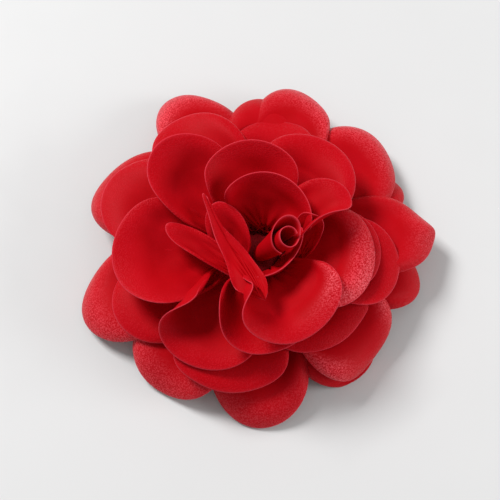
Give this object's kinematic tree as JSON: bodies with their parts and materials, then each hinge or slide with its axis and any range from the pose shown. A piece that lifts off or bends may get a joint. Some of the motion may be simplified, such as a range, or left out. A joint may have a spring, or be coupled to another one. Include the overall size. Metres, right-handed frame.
{
  "type": "flower hair clip",
  "caption": "Layered satin flower with rolled bud, sewn to a round felt backing on a sprung two-jaw metal hair clip; the lower jaw hinges open.",
  "frame": {"origin": "centre of the outline in plan, on the table that the flower lies on", "axes": "+X along the clip towards its jaw tips, +Y up the pictured flower, +Z out of the flower's face"},
  "size_m": [0.1255, 0.127, 0.0421],
  "materials": {
    "satin": "deep red satin-faced cloth, soft sheen, heat-sealed pinkish edges",
    "felt": "dark red felt, matte and fibrous",
    "core_cloth": "gathered red cloth with stitches, matte",
    "glue": "cured hot-melt glue, milky, slightly glossy",
    "clip_steel": "nickel-plated pressed sheet steel",
    "rivet_steel": "plain turned steel rivet",
    "spring_wire": "drawn spring steel wire, slightly dark"
  },
  "bodies": {
    "flower": {"backing_disc": "felt", "glue_pad": "glue", "upper_jaw": "clip_steel", "hinge_pin": "rivet_steel", "torsion_spring": "spring_wire", "stem_core": "core_cloth", "outer_petal_01": "satin", "outer_petal_02": "satin", "outer_petal_03": "satin", "outer_petal_04": "satin", "outer_petal_05": "satin", "outer_petal_06": "satin", "outer_petal_07": "satin", "outer_petal_08": "satin", "outer_petal_09": "satin", "outer_petal_10": "satin", "outer_petal_11": "satin", "outer_petal_12": "satin", "outer_petal_13": "satin", "middle_petal_01": "satin", "middle_petal_02": "satin", "middle_petal_03": "satin", "middle_petal_04": "satin", "middle_petal_05": "satin", "middle_petal_06": "satin", "middle_petal_07": "satin", "middle_petal_08": "satin", "middle_petal_09": "satin", "middle_petal_10": "satin", "middle_petal_11": "satin", "middle_petal_12": "satin", "middle_petal_13": "satin", "heart_petal_01": "satin", "heart_petal_02": "satin", "heart_petal_03": "satin", "heart_petal_04": "satin", "heart_petal_05": "satin", "heart_petal_06": "satin", "heart_petal_07": "satin", "heart_petal_08": "satin", "heart_petal_09": "satin", "heart_petal_10": "satin", "bud_roll": "satin"},
    "lower_jaw": {"lower_jaw": "clip_steel"}
  },
  "joints": [
    {"name": "jaw_hinge", "type": "hinge", "parent": "flower", "child": "lower_jaw", "pos_m": [-0.008, -0.004, 0.0044], "axis": [0, 1, 0], "range_deg": [0, 22], "stiffness_Nm_per_rad": 0.06, "springref_deg": -68.75, "deforming": ["torsion_spring"]}
  ]
}
